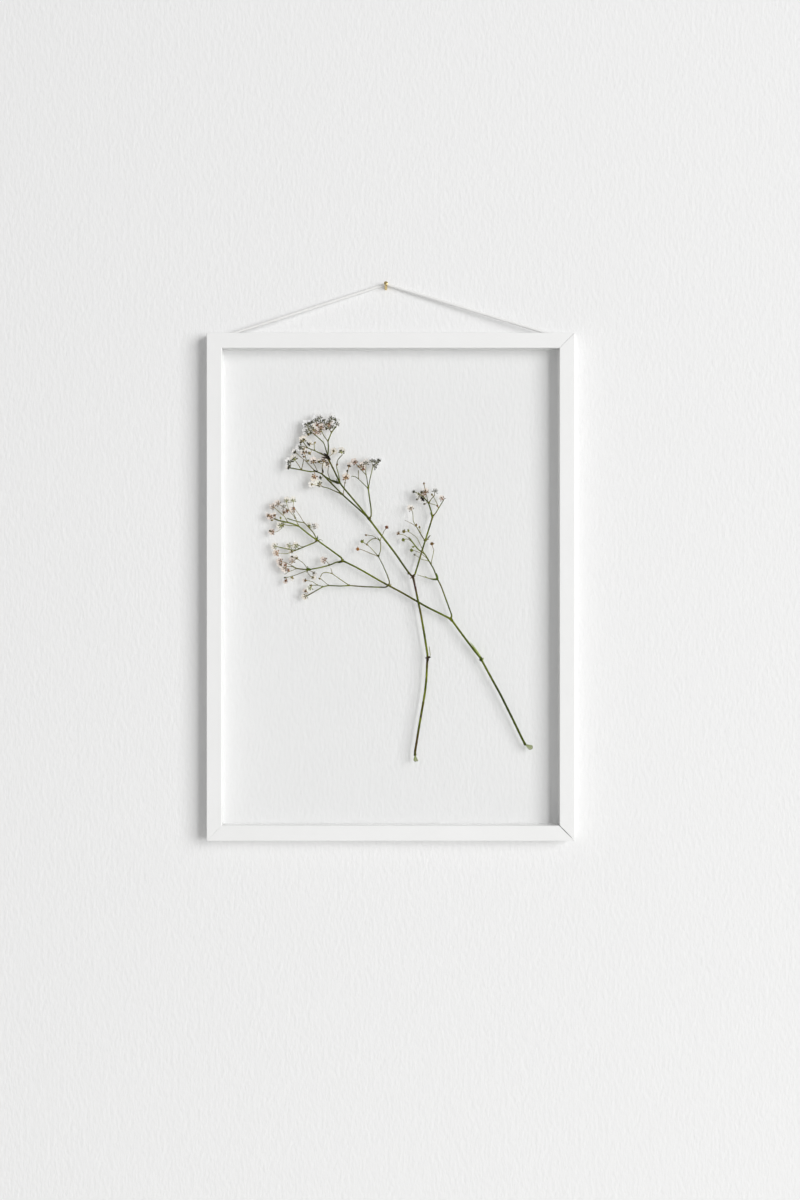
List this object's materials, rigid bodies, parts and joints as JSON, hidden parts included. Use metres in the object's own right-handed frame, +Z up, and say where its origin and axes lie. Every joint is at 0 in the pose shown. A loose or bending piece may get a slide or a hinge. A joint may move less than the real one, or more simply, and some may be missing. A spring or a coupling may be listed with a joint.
{
  "type": "pressed flower frame",
  "caption": "Slim white wall frame with two pressed sprigs of baby's breath between clear panes, hung by an elastic band from a nail.",
  "frame": {"origin": "point on the wall's plane where the nail enters the wall, which is also the plane of the frame's flat back", "axes": "+Z up, +X to the right as seen from the front, +Y into the wall"},
  "size_m": [0.229, 0.0232, 0.3489],
  "materials": {
    "bar": "satin",
    "pane": "polished",
    "band": "matte",
    "nail": "polished",
    "stem": "matte",
    "spray": "matte"
  },
  "bodies": {
    "root": {"bar_bottom": "bar", "bar_right": "bar", "bar_top": "bar", "bar_left": "bar", "pane_front": "pane", "pane_back": "pane", "elastic_band": "band", "nail": "nail", "sprig_a_stem": "stem", "sprig_a_left_branch": "stem", "sprig_a_left_head": "spray", "sprig_a_crown": "spray", "sprig_a_middle_spray": "spray", "sprig_a_right_branch": "stem", "sprig_a_right_head": "spray", "sprig_b_stem": "stem", "sprig_b_upper_branch": "spray", "sprig_b_main_branch": "stem", "sprig_b_middle_spray": "spray", "sprig_b_lower_spray": "spray", "sprig_b_left_spray": "spray", "sprig_b_corner_spray": "spray", "sprig_b_top_head": "spray"}
  },
  "joints": []
}
